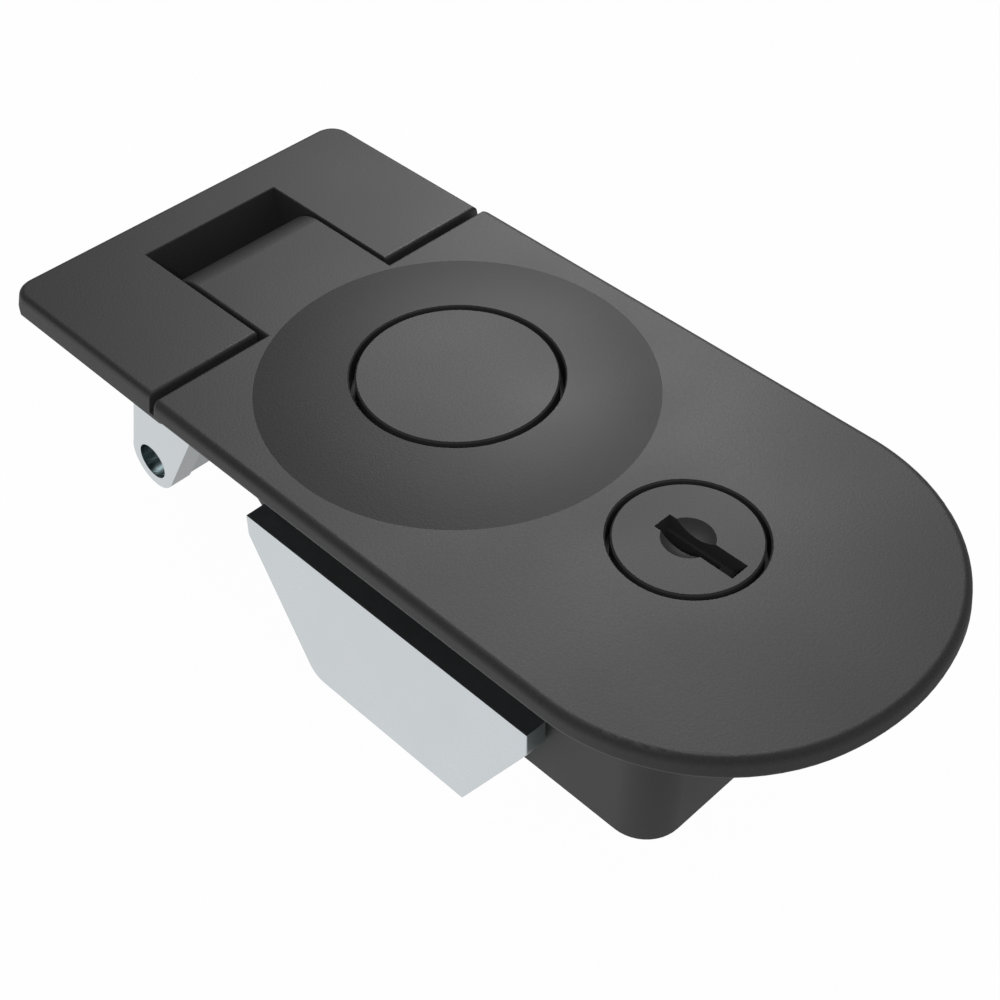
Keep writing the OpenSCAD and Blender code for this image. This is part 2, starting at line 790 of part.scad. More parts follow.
// A leg's outline: its lower corner towards the hinge is rounded
module leg_outline() {
    top = -grip;
    foot = leg_foot_l / 2;
    slant = [foot - leg_top_l / 2, leg_h - shoulder_h];
    corner = [-foot, foot_z];
    cut = leg_r * tan((180 - atan2(slant.y, slant.x)) / 2);
    polygon([[-leg_top_l / 2, top], [leg_top_l / 2, top], [leg_top_l / 2, top - shoulder_h],
        [foot, foot_z], corner + [cut, 0], corner + cut * unit(slant), [-leg_top_l / 2, top - shoulder_h]]);
    translate(corner + [cut, leg_r]) circle(leg_r);
}

module clamp_bracket() {
    foot = leg_foot_l / 2;
    color(zinc) translate([leg_x, 0, 0]) difference() {
        union() {
            both_sides() translate([0, leg_in + bracket_t / 2, 0]) along_y(bracket_t / 2) leg_outline();
            translate([-foot + leg_r, -leg_in - eps, foot_z])
                cube([leg_foot_l - leg_r, 2 * (leg_in + eps), bracket_t]);
        }
        both_sides() translate([clamp_at.x - leg_x, clamp_at.y, foot_z - past])
            cylinder(r = m5_r + clamp_play, h = bracket_t + 2 * past);
    }
}

module clamp_screws() {
    color(steel) both_sides() translate([clamp_at.x, clamp_at.y, foot_z - washer_t])
        screw(m5_r, -tub_d + clamp_grip_l - foot_z + washer_t, m5_head_r, m5_head_h);
}

module clamp_washers() {
    color(zinc) both_sides() translate([clamp_at.x, clamp_at.y, foot_z - washer_t])
        ring(m5_r + fit_loose, washer_r, washer_t);
}

housing();
gasket();
lever();
pivot_shaft();
shaft_screws();
shaft_seals();
lever_spring();
pawl();
button();
button_seal();
button_spring();
catch_carrier();
carrier_screws();
catch();
catch_spring();
keeper();
keeper_screws();
lock_barrel();
lock_clip();
lock_seal();
lock_plug();
lock_cam();
cam_screw();
clamp_bracket();
clamp_screws();
clamp_washers();
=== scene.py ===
# %% [markdown]
# # Dressing a sealed lever latch
#
# The latch is already built as solids at their real size, and this lesson gives it its looks. The
# solids are loaded as a fixed frame, in metres, and are never moved or edited. Most of them only
# get a finish. Where the real part has a form that its solid lacks, a copy of the solid is shaped
# and stands for it, and the clamp screws, which need threads, are modelled anew.

# %% Load the frame
import json
import math

import bpy
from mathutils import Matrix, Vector


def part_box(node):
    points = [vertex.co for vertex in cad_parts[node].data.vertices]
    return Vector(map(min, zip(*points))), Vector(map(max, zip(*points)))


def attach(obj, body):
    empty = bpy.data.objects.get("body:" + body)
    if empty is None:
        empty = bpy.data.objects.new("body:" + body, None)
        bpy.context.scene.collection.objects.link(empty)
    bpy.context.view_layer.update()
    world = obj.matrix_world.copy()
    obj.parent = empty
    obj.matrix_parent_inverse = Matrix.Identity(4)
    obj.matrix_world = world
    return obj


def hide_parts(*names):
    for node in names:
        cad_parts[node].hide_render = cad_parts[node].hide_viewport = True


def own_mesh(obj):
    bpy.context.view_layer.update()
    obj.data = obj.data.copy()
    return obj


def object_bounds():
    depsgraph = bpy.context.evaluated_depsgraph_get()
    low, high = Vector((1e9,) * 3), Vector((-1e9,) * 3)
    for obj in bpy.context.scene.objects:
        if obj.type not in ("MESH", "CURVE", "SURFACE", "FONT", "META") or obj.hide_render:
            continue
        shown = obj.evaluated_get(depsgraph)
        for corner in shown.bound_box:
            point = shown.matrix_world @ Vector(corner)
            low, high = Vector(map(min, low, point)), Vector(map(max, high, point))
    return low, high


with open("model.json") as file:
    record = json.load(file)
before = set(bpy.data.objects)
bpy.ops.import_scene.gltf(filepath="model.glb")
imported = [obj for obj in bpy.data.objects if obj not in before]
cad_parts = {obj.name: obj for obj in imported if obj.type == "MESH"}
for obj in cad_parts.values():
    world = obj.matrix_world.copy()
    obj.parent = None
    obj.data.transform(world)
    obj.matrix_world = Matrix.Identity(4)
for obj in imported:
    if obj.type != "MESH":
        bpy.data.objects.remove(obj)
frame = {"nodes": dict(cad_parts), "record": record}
nodes = frame["nodes"]
solid_low, solid_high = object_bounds()
MM = 0.001
print("latch in mm:", [round(side / MM, 1) for side in solid_high - solid_low])

# %% [markdown]
# ## The camera
#
# A product photo of this kind is taken from above one corner, with a longer lens so that the plate
# doesn't look bent. The camera's place was worked out from the outline and from the ellipses of the
# dome, the button and the lock, so it is written as a position and three angles. It could also look
# at a target, but then the framing would drift whenever the target moves.

# %% Set up the camera
CAMERA_AT = Vector((118.3, -111.56, 144.7)) * MM
CAMERA_AZIMUTH = math.radians(44.85)
CAMERA_ELEVATION = math.radians(44.58)
CAMERA_ROLL = math.radians(0.1)
LENS = 63.05
SENSOR = 36.0
NEAREST_SEEN = 1 * MM

camera_data = bpy.data.cameras.new("photo_camera")
camera_data.lens = LENS
camera_data.sensor_width = SENSOR
camera_data.clip_start = NEAREST_SEEN
camera = bpy.data.objects.new("photo_camera", camera_data)
bpy.context.scene.collection.objects.link(camera)
level = math.cos(CAMERA_ELEVATION)
looking = Vector((
    -math.sin(CAMERA_AZIMUTH) * level,
    math.cos(CAMERA_AZIMUTH) * level,
    -math.sin(CAMERA_ELEVATION),
))
camera.location = CAMERA_AT
camera.rotation_euler = looking.to_track_quat("-Z", "Y").to_euler()
camera.rotation_euler.rotate_axis("Z", CAMERA_ROLL)
bpy.context.scene.camera = camera
print("camera looks along", [round(part, 3) for part in looking])

# %% [markdown]
# ## Writing shaders as sums
#
# A finish is a small calculation: a grain, times a strength, added to a colour. Wiring that by hand
# takes a dozen nodes, so one class wraps a socket and lets Python's own operators add the Math
# nodes. Every other node comes from its `make` method: settings first, then values or links. A Mix
# node has a set of sockets for each kind of data, so the numbers of those for colours are named.


# %% A socket that can be calculated with
class Shade:
    """One output socket of a node tree, with the operators that the finishes use."""

    MIX_FACTOR = 0
    MIX_FIRST = 6
    MIX_SECOND = 7
    MIX_RESULT = 2

    def __init__(self, tree, socket=None):
        self.tree = tree
        self.socket = socket

    def make(self, kind, settings=None, inputs=None, output=0):
        """Add a node, set it up, feed its sockets and return one of its outputs."""
        node = self.tree.nodes.new(kind)
        for name, value in (settings or {}).items():
            setattr(node, name, value)
        for name, value in (inputs or {}).items():
            if isinstance(value, Shade):
                self.tree.links.new(value.socket, node.inputs[name])
            else:
                node.inputs[name].default_value = value
        return Shade(self.tree, node.outputs[output])

    def maths(self, operation, first, second):
        return self.make("ShaderNodeMath", {"operation": operation}, {0: first, 1: second})

    def __add__(self, other):
        return self.maths("ADD", self, other)

    __radd__ = __add__

    def __sub__(self, other):
        return self.maths("SUBTRACT", self, other)

    def __rsub__(self, other):
        return self.maths("SUBTRACT", other, self)

    def __mul__(self, other):
        return self.maths("MULTIPLY", self, other)

    __rmul__ = __mul__

    def mix_colours(self, blend, factor, first, second):
        settings = {"data_type": "RGBA", "blend_type": blend}
        inputs = {self.MIX_FACTOR: factor, self.MIX_FIRST: first, self.MIX_SECOND: second}
        return self.make("ShaderNodeMix", settings, inputs, self.MIX_RESULT)

    def mix(self, low, high):
        """From colour low to colour high as this value goes from 0 to 1."""
        return self.mix_colours("MIX", self, low, high)

    def tinted(self, colour):
        """This colour times another one."""
        return self.mix_colours("MULTIPLY", 1.0, self, colour)


# %% [markdown]
# ## The moulded plastic
#
# The frame and the lever are moulded in black glass-filled plastic from a spark-eroded mould, which
# leaves a fine grain that scatters light: from a little way off the black looks like a soft dark
# grey. A flat grey would look like a drawing, so a grain of about a third of a millimetre moves the
# normal and the colour a little, and a slow cloud makes some places duller than others.


# %% Helpers for finishes
def grey(value):
    return (value, value, value, 1.0)


def start_material(name):
    """A new material with an empty tree, its principled shader and its output."""
    material = bpy.data.materials.new(name)
    material.use_nodes = True
    tree = material.node_tree
    tree.nodes.clear()
    shader = tree.nodes.new("ShaderNodeBsdfPrincipled")
    output = tree.nodes.new("ShaderNodeOutputMaterial")
    tree.links.new(shader.outputs[0], output.inputs[0])
    return material, Shade(tree), shader


def feed(tool, shader, **sockets):
    """Link values to the shader's sockets, or set plain numbers on them."""
    for name, value in sockets.items():
        socket = shader.inputs[name.replace("_", " ")]
        if isinstance(value, Shade):
            tool.tree.links.new(value.socket, socket)
        else:
            socket.default_value = value


def noise(tool, size, detail=2.0):
    """Grey noise whose lumps are about size metres across."""
    place = tool.make("ShaderNodeTexCoord", output="Object")
    inputs = {"Vector": place, "Scale": 1 / size, "Detail": detail}
    return tool.make("ShaderNodeTexNoise", None, inputs)


def swing(value, amount):
    """Noise as a change up and down, over the given amount from end to end."""
    return (value - 0.5) * amount


def bump(tool, height, distance):
    return tool.make("ShaderNodeBump", None, {"Height": height, "Distance": distance})


def coordinate(tool, letter):
    """X, Y or Z of the shaded point on its object, in metres."""
    place = tool.make("ShaderNodeTexCoord", output="Object")
    return tool.make("ShaderNodeSeparateXYZ", None, {0: place}, letter)


# %% Moulded black plastic
PLASTIC_CLOUD = 18 * MM
CLOUD_DETAIL = 1.0
GRAIN_IN_TONE = 0.7
CLOUD_IN_ROUGHNESS = 0.08
GRAIN_IN_ROUGHNESS = 0.06


def moulded_plastic(name, dark, light, rough, grain_size, grain_depth):
    material, tool, shader = start_material(name)
    grain = noise(tool, grain_size)
    cloud = noise(tool, PLASTIC_CLOUD, CLOUD_DETAIL)
    tone = grain * GRAIN_IN_TONE + cloud * (1 - GRAIN_IN_TONE)
    feed(
        tool,
        shader,
        Base_Color=tone.mix(grey(dark), grey(light)),
        Roughness=rough + swing(cloud, CLOUD_IN_ROUGHNESS) + swing(grain, GRAIN_IN_ROUGHNESS),
        Normal=bump(tool, grain, grain_depth),
    )
    return material


textured_black = moulded_plastic(
    "textured_black", dark=0.013, light=0.027, rough=0.565,
    grain_size=0.32 * MM, grain_depth=0.013 * MM,
)
smooth_black = moulded_plastic(
    "smooth_black", dark=0.014, light=0.025, rough=0.575,
    grain_size=0.26 * MM, grain_depth=0.016 * MM,
)
inner_black = moulded_plastic(
    "inner_black", dark=0.014, light=0.024, rough=0.6,
    grain_size=0.5 * MM, grain_depth=0.015 * MM,
)
print("plastics:", textured_black.name, smooth_black.name, inner_black.name)

# %% [markdown]
# ## Zinc plate and steel
#
# The bracket and the pawl are stamped from sheet and plated with zinc: a pale, slightly blue metal
# with a satin gloss that mirrors the white table on its rolled faces and the black plate on its
# upper edge. The sheared edges of the sheet are rougher and stay duller. A painted grey could not
# do all that, so it is a true metal: its roughness carries faint rolling marks, and the direction
# of the surface tells a rolled face, which looks along Y, from a sheared edge. Every face that
# doesn't look along Y also gets a darker colour, partly for its duller cut finish and partly as
# painted shade, and the inside of the hole in the pawl's tip is painted dark as shade.

# %% Rolling marks and wear
MARK_SIZE = 0.4 * MM
MARK_DETAIL = 3.0
MARK_DEPTH = 0.002 * MM
PLATE_CLOUD = 9 * MM
MARKS_IN_WEAR = 0.4
CLOUD_IN_DULLING = 0.06
MARKS_IN_DULLING = 0.08


def rolling_marks(tool, stretch):
    place = tool.make("ShaderNodeTexCoord", output="Object")
    stretched = tool.make("ShaderNodeMapping", None, {"Vector": place, "Scale": stretch})
    inputs = {"Vector": stretched, "Scale": 1 / MARK_SIZE, "Detail": MARK_DETAIL}
    return tool.make("ShaderNodeTexNoise", None, inputs)


def plating(tool, stretch):
    """What all plated metals share: wear for the colour, a change of roughness, and a normal."""
    marks = rolling_marks(tool, stretch)
    cloud = noise(tool, PLATE_CLOUD)
    wear = marks * MARKS_IN_WEAR + cloud * (1 - MARKS_IN_WEAR)
    dulling = swing(cloud, CLOUD_IN_DULLING) + swing(marks, MARKS_IN_DULLING)
    return wear, dulling, bump(tool, marks, MARK_DEPTH)


# %% Plated small parts
def plated_metal(name, dull, bright, rough, stretch):
    material, tool, shader = start_material(name)
    wear, dulling, marked = plating(tool, stretch)
    feed(
        tool,
        shader,
        Base_Color=wear.mix(dull, bright),
        Metallic=1.0,
        Roughness=rough + dulling,
        Normal=marked,
    )
    return material


plated_zinc = plated_metal(
    "plated_zinc", dull=(0.6, 0.64, 0.66, 1.0), bright=(0.7, 0.745, 0.77, 1.0),
    rough=0.26, stretch=(1.0, 1.0, 0.3),
)
bright_steel = plated_metal(
    "bright_steel", dull=(0.42, 0.42, 0.42, 1.0), bright=(0.55, 0.55, 0.56, 1.0),
    rough=0.3, stretch=(1.0, 1.0, 0.2),
)
print("metals of the small parts:", plated_zinc.name, bright_steel.name)

# %% Stamped sheet
ROLLED_ZINC = (0.6, 0.637, 0.66, 1.0)
# Faces that don't look along Y: a duller cut finish, darkened further as painted shade.
SHEARED_AND_SHADED_ZINC = (0.48, 0.53, 0.55, 1.0)
SHEARED_AND_SHADED_EAR = (0.25, 0.265, 0.27, 1.0)
# The inside of the pawl's hole, painted dark as shade.
BORE_PAINTED_SHADE = (0.12, 0.16, 0.17, 1.0)
TIP_BORE = (-47.9 * MM, -29.8 * MM, 2.82 * MM)
SHEET_STRETCH = (0.2, 1.0, 1.0)
SHEARED_BELOW = 0.5
ROLLED_ABOVE = 0.9
WORN_GREY = 0.94
FRESH_GREY = 1.06
SHEARED_ROUGHNESS = 0.36
ROLLED_SMOOTHER_BY = 0.1


def inside_bore(tool, centre_x, centre_z, radius):
    """1 inside a hole along Y, and 0 elsewhere."""
    along = coordinate(tool, "X") - centre_x
    above = coordinate(tool, "Z") - centre_z
    return tool.maths("LESS_THAN", along * along + above * above, radius * radius)


def stamped_zinc(name, rolled, sheared_and_shaded, bore=None):
    """Zinc on stamped sheet; bore places and sizes a drilled hole along Y, painted shade inside."""
    material, tool, shader = start_material(name)
    wear, dulling, marked = plating(tool, SHEET_STRETCH)
    facing = tool.make("ShaderNodeTexCoord", output="Normal")
    across = tool.make("ShaderNodeSeparateXYZ", None, {0: facing}, "Y")
    limits = {"Value": across * across, "From Min": SHEARED_BELOW, "From Max": ROLLED_ABOVE}
    face = tool.make("ShaderNodeMapRange", None, limits)
    # Faces that don't look along Y get the darker colour: partly cut finish, partly painted shade.
    colour = face.mix(sheared_and_shaded, rolled)
    # The inside of the hole is painted dark as shade.
    if bore:
        colour = inside_bore(tool, *bore).mix(colour, BORE_PAINTED_SHADE)
    feed(
        tool,
        shader,
        Base_Color=colour.tinted(wear.mix(grey(WORN_GREY), grey(FRESH_GREY))),
        Metallic=1.0,
        Roughness=SHEARED_ROUGHNESS - face * ROLLED_SMOOTHER_BY + dulling,
        Normal=marked,
    )
    return material


bracket_zinc = stamped_zinc("bracket_zinc", ROLLED_ZINC, SHEARED_AND_SHADED_ZINC)
pawl_zinc = stamped_zinc("pawl_zinc", ROLLED_ZINC, SHEARED_AND_SHADED_EAR, TIP_BORE)
print("metals of the sheet parts:", bracket_zinc.name, pawl_zinc.name)

# %% [markdown]
# ## Rubber
#
# The gasket and the small seals are black rubber, the dullest thing on the latch. It has almost no
# gloss and a dusty, uneven tone.

# %% Seal rubber
DUST_SIZE = 1.2 * MM
DUST_DETAIL = 4.0
DUST_DEPTH = 0.02 * MM
CLEAN_RUBBER = grey(0.012)
DUSTY_RUBBER = grey(0.03)
RUBBER_ROUGHNESS = 0.75
DUST_IN_ROUGHNESS = 0.2

seal_rubber, tool, shader = start_material("seal_rubber")
dust = noise(tool, DUST_SIZE, DUST_DETAIL)
feed(
    tool,
    shader,
    Base_Color=dust.mix(CLEAN_RUBBER, DUSTY_RUBBER),
    Roughness=RUBBER_ROUGHNESS + swing(dust, DUST_IN_ROUGHNESS),
    Normal=bump(tool, dust, DUST_DEPTH),
)
print("rubber:", seal_rubber.name)

# %% [markdown]
# ## Copies that can be shaped
#
# A solid is never edited, but a copy of it may be. The solids arrive as loose triangles, so a copy
# is merged first, and the triangles on each flat face are dissolved, because a bevel follows every
# edge it meets. Flat faces should stay flat to the light right up to their rounded edges: plain
# smooth shading would bend them there, so a Weighted Normal modifier lets the large faces decide.

# %% Helpers for copies
ONE_MICRON = 1e-6
NEAR = 20 * ONE_MICRON
FLAT_BELOW = math.radians(0.5)
SMOOTH_BELOW = math.radians(30)


def select_only(piece):
    """Make one object the active one, and the only one that is selected."""
    bpy.ops.object.select_all(action="DESELECT")
    bpy.context.view_layer.objects.active = piece
    piece.select_set(True)


def copied_solid(node_name, piece_name):
    """A merged copy of a solid, as the active object."""
    piece = bpy.data.objects.new(piece_name, nodes[node_name].data.copy())
    bpy.context.scene.collection.objects.link(piece)
    select_only(piece)
    bpy.ops.mesh.customdata_custom_splitnormals_clear()
    bpy.ops.object.mode_set(mode="EDIT")
    bpy.ops.mesh.select_all(action="SELECT")
    bpy.ops.mesh.remove_doubles(threshold=ONE_MICRON)
    bpy.ops.mesh.dissolve_limited(angle_limit=FLAT_BELOW)
    bpy.ops.object.mode_set(mode="OBJECT")
    return piece


def pick(piece, kind, wanted):
    """Go to edit mode with only those edges or faces selected whose corners are all wanted."""
    bpy.ops.object.mode_set(mode="EDIT")
    bpy.ops.mesh.select_mode(type=kind)
    bpy.ops.mesh.select_all(action="DESELECT")
    bpy.ops.object.mode_set(mode="OBJECT")
    mesh = piece.data
    for part in mesh.edges if kind == "EDGE" else mesh.polygons:
        part.select = all(wanted(mesh.vertices[corner].co) for corner in part.vertices)
    bpy.ops.object.mode_set(mode="EDIT")


# %% Helpers for cutting, bevelling and placing them
def cut_along(piece, region, place, facing):
    """Cut the faces of a region where a plane goes through them."""
    pick(piece, "FACE", region)
    bpy.ops.mesh.bisect(plane_co=place, plane_no=facing, threshold=ONE_MICRON)
    bpy.ops.object.mode_set(mode="OBJECT")


def bevel_sharp_edges(width, segments):
    """Bevel all sharp edges of the active object."""
    bpy.ops.object.mode_set(mode="EDIT")
    bpy.ops.mesh.select_mode(type="EDGE")
    bpy.ops.mesh.select_all(action="DESELECT")
    bpy.ops.mesh.edges_select_sharp(sharpness=SMOOTH_BELOW)
    bpy.ops.mesh.bevel(offset=width, segments=segments, affect="EDGES", clamp_overlap=True)
    bpy.ops.object.mode_set(mode="OBJECT")


def put_in_place(piece, node_name, body, crease=None):
    """Shade the piece, let its large faces set the normals and let it stand for the solid."""
    bpy.ops.object.mode_set(mode="OBJECT")
    bpy.ops.object.shade_smooth_by_angle(angle=SMOOTH_BELOW)
    if crease:
        pick(piece, "EDGE", crease)
        bpy.ops.mesh.mark_sharp()
        bpy.ops.object.mode_set(mode="OBJECT")
    modifier = piece.modifiers.new("large_faces_first", "WEIGHTED_NORMAL")
    modifier.keep_sharp = True
    bpy.ops.object.modifier_apply(modifier=modifier.name)
    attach(piece, body)
    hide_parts(node_name)
    print(piece.name, "has", len(piece.data.polygons), "faces")


# %% [markdown]
# ## The lever's round end
#
# On the real lever the straight sides run into the round end without a corner: the shoulders have a
# smaller radius than the tip. The solid's end is a plain arc that meets the sides at a slight kink.
# Both outlines are written as a distance from the centre of that arc, so that the difference says
# how far each point of the rim has to move.

# %% The old and the new outline
HALF_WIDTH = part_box("lever")[1].y
SOLID_END_AT = 38.7 * MM
SOLID_END_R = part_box("lever")[1].x - SOLID_END_AT
REACH = 68.17 * MM
TIP_R = 33.41 * MM
SHOULDER_R = 26.31 * MM

tip_at = REACH - TIP_R
tip_span = math.asin((HALF_WIDTH - SHOULDER_R) / (TIP_R - SHOULDER_R))
shoulder_at = tip_at + (TIP_R - SHOULDER_R) * math.cos(tip_span)
kink_at = SOLID_END_AT + math.sqrt(SOLID_END_R ** 2 - HALF_WIDTH ** 2)


def distance_to_arc(angle, centre_x, centre_y, radius):
    """How far a ray from the old end's centre runs until it meets an arc from inside."""
    along = (SOLID_END_AT - centre_x) * math.cos(angle) - centre_y * math.sin(angle)
    apart = (SOLID_END_AT - centre_x) ** 2 + centre_y ** 2 - radius ** 2
    return -along + math.sqrt(along * along - apart)


def solid_outline(angle):
    return min(SOLID_END_R, HALF_WIDTH / max(math.sin(angle), ONE_MICRON))


def smooth_outline(angle):
    shoulder = distance_to_arc(angle, shoulder_at, HALF_WIDTH - SHOULDER_R, SHOULDER_R)
    tip = distance_to_arc(angle, tip_at, 0.0, TIP_R)
    end_x = SOLID_END_AT + tip * math.cos(angle)
    if math.atan2(tip * math.sin(angle), end_x - tip_at) < tip_span:
        return tip
    if SOLID_END_AT + shoulder * math.cos(angle) > shoulder_at:
        return shoulder
    return HALF_WIDTH / math.sin(angle)


print("shoulders start at", round(shoulder_at / MM, 1), "mm, the kink is at", round(kink_at / MM, 1))

# %% [markdown]
# ## The lever's edge
#
# The edge is well rounded on top and slopes a little below that, down to a small radius that
# catches the white table as a thin bright line, and the two corners at the slot are slightly round.
# The solid has a plain round edge, so its copy has the lower edge bevelled, is cut where its sides
# have to bend, and has its rim moved. Only the outer skin moves: the rim's inner wall stays clear of
# the flange. The dome rises from the plate at a shallow angle that smooth shading would hide, so its
# border is marked as a crease.

# %% Where a point lies in the rim
LEVER_T = 2.4 * MM
SKIN_DEPTH = 1.05 * MM
FIXED_DEPTH = 1.7 * MM
RIM_DEPTH = 1.85 * MM
DOME_R = 25 * MM

under_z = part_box("housing")[1].z - LEVER_T


def depth_in_rim(point):
    """How far a point lies inside the solid's outline, seen from above."""
    if point.x < SOLID_END_AT:
        return HALF_WIDTH - abs(point.y)
    spread = math.hypot(point.x - SOLID_END_AT, point.y)
    return solid_outline(math.atan2(abs(point.y), point.x - SOLID_END_AT)) - spread


def in_rim(point):
    return depth_in_rim(point) < RIM_DEPTH and point.z > under_z - ONE_MICRON


def on_lower_edge(point):
    return depth_in_rim(point) < NEAR and abs(point.z - under_z) < ONE_MICRON


def on_dome_border(point):
    return abs(math.hypot(point.x, point.y) - DOME_R) < NEAR and point.z > under_z


def skin_share(depth):
    """1 in the outer skin, and from there down to 0 where nothing may move."""
    return min(max((FIXED_DEPTH - depth) / (FIXED_DEPTH - SKIN_DEPTH), 0.0), 1.0)


# %% The profile of the edge
EDGE_R = 1.0 * MM
ROUND_OFF = 1.0 * MM
OUTSET = 0.3 * MM
SLOPE_FROM = 0.55 * MM
SLOT_EDGE_AT = -23.9 * MM
SLOT_CORNER_R = 0.7 * MM


def round_edge(below_top):
    """How far the solid's round edge stands back, at a level below the top face."""
    rise = max(EDGE_R - below_top, 0.0)
    return EDGE_R - math.sqrt(EDGE_R ** 2 - rise ** 2)


def sloped_edge(below_top, across, down, round_off):
    """The same for an edge that slopes a little and is rounded off where it meets the top."""
    corner = across - round_off
    slope = math.atan2(corner, down)
    radius = round_off / math.tan((math.pi / 2 - slope) / 2)
    if below_top < round_off * math.cos(slope):
        return across - math.sqrt(max(radius ** 2 - (radius - below_top) ** 2, 0.0))
    return max(corner - below_top * math.tan(slope), 0.0)


def edge_change(below_top, outset, down, round_off):
    """How far the round edge moves to become a sloped one that ends at the same line on top."""
    return round_edge(below_top) - sloped_edge(below_top, EDGE_R + outset, down, round_off)


def slot_corner(point):
    """How far the lever's side stands back where it rounds into the slot."""
    left = min(max(SLOT_EDGE_AT + SLOT_CORNER_R - point.x, 0.0), SLOT_CORNER_R)
    return SLOT_CORNER_R - math.sqrt(SLOT_CORNER_R ** 2 - left ** 2)


# %% Bevel and cut the copy
LOWER_EDGE_R = 0.5 * MM
LOWER_EDGE_SEGMENTS = 4
CUT_STEP = 0.7 * MM
SLOT_CORNER_CUTS = 3

lever_piece = copied_solid("lever", "lever_moulding")
pick(lever_piece, "EDGE", on_lower_edge)
bpy.ops.mesh.bevel(offset=LOWER_EDGE_R, segments=LOWER_EDGE_SEGMENTS, affect="EDGES")
bpy.ops.object.mode_set(mode="OBJECT")

cuts = [shoulder_at]
while cuts[-1] + CUT_STEP < kink_at - CUT_STEP / 2:
    cuts.append(cuts[-1] + CUT_STEP)
for step in range(SLOT_CORNER_CUTS):
    turn = math.pi / 2 * step / SLOT_CORNER_CUTS
    cuts.append(SLOT_EDGE_AT + SLOT_CORNER_R * (1 - math.sin(turn)))
for cut_x in cuts:
    cut_along(lever_piece, in_rim, (cut_x, 0, 0), (1, 0, 0))
print("the lever's rim is cut at", len(cuts), "places")

# %% Move the lever's rim
LOWER_BY = 0.2 * MM

for vertex in lever_piece.data.vertices:
    point = vertex.co
    if not in_rim(point):
        continue
    depth = depth_in_rim(point)
    share = skin_share(depth)
    height = point.z - under_z
    move = (OUTSET - slot_corner(point)) * share
    if depth < SKIN_DEPTH and height > LOWER_EDGE_R:
        move += edge_change(LEVER_T - height, OUTSET, LEVER_T - SLOPE_FROM, ROUND_OFF)
    if point.x > SOLID_END_AT:
        angle = math.atan2(abs(point.y), point.x - SOLID_END_AT)
        move += (smooth_outline(angle) - solid_outline(angle)) * share
    else:
        angle = math.pi / 2
    point.x += move * math.cos(angle)
    point.y += move * math.sin(angle) * math.copysign(1.0, point.y)
    if height < SLOPE_FROM:
        point.z -= LOWER_BY * (SLOPE_FROM - height) / SLOPE_FROM
put_in_place(lever_piece, "lever", "lever_body", on_dome_border)

# %% [markdown]
# ## The frame's corners
#
# The square end of the frame has softer corners than its solid, and its edge slopes like the
# lever's, down to a faint line below the middle. A copy of the housing gets the same treatment as
# the lever: it is cut on both sides of each corner and along that line, and the rim of its frame is
# moved. The thin ledge that closes the slot from below, and shows at its ends, moves out with it.
# The tub, the trough and the notch below and inside that rim stay as they are.

# %% Where a point lies in the frame
FRAME_T = 3.2 * MM
LEDGE_T = 0.6 * MM
SLOT_AT = -25.05 * MM
SOLID_CORNER_R = 2.2 * MM
CORNER_R = 3.2 * MM
FRAME_SLOPE = 2.2 * MM

frame_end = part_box("housing")[0].x
frame_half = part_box("housing")[1].y
frame_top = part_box("housing")[1].z
frame_under = frame_top - FRAME_T - ONE_MICRON
corner_shift = CORNER_R - SOLID_CORNER_R


def frame_depth(point):
    """How far a point lies inside the solid frame's outline, seen from above."""
    from_side = frame_half - abs(point.y)
    from_end = point.x - frame_end
    if max(from_side, from_end) < SOLID_CORNER_R:
        spread = math.hypot(SOLID_CORNER_R - from_side, SOLID_CORNER_R - from_end)
        return SOLID_CORNER_R - spread
    return min(from_side, from_end)


def in_frame_rim(point):
    return frame_depth(point) < RIM_DEPTH and point.z > frame_under and point.x < SLOT_AT


def on_ledge(point):
    beside = frame_half - abs(point.y) < SKIN_DEPTH and point.x >= SLOT_AT
    return beside and frame_under < point.z < frame_under + LEDGE_T + 2 * ONE_MICRON


def on_frame_line(point):
    return in_frame_rim(point) and abs(point.z - frame_top + FRAME_SLOPE) < ONE_MICRON


def solid_corner(angle):
    """How far a ray from the new corner's centre runs to the solid's outline."""
    cosine, sine = math.cos(angle), math.sin(angle)
    if CORNER_R * sine <= corner_shift * cosine:
        return CORNER_R / cosine
    if CORNER_R * cosine <= corner_shift * sine:
        return CORNER_R / sine
    along = corner_shift * (cosine + sine)
    return along + math.sqrt(along * along - 2 * corner_shift ** 2 + SOLID_CORNER_R ** 2)


print("frame's end at", round(frame_end / MM, 1), "mm, half its width", round(frame_half / MM, 1))

# %% Cut the copy of the housing
CORNER_CUTS = 3

housing_piece = copied_solid("housing", "housing_moulding")
for step in range(1, CORNER_CUTS + 1):
    inward = SOLID_CORNER_R + corner_shift * step / CORNER_CUTS
    cut_along(housing_piece, in_frame_rim, (frame_end + inward, 0, 0), (1, 0, 0))
    cut_along(housing_piece, in_frame_rim, (0, frame_half - inward, 0), (0, 1, 0))
    cut_along(housing_piece, in_frame_rim, (0, inward - frame_half, 0), (0, 1, 0))
cut_along(housing_piece, in_frame_rim, (0, 0, frame_top - FRAME_SLOPE), (0, 0, 1))

# %% Move the frame's rim
FRAME_OUTSET = 0.2 * MM
FRAME_ROUND_OFF = 0.7 * MM

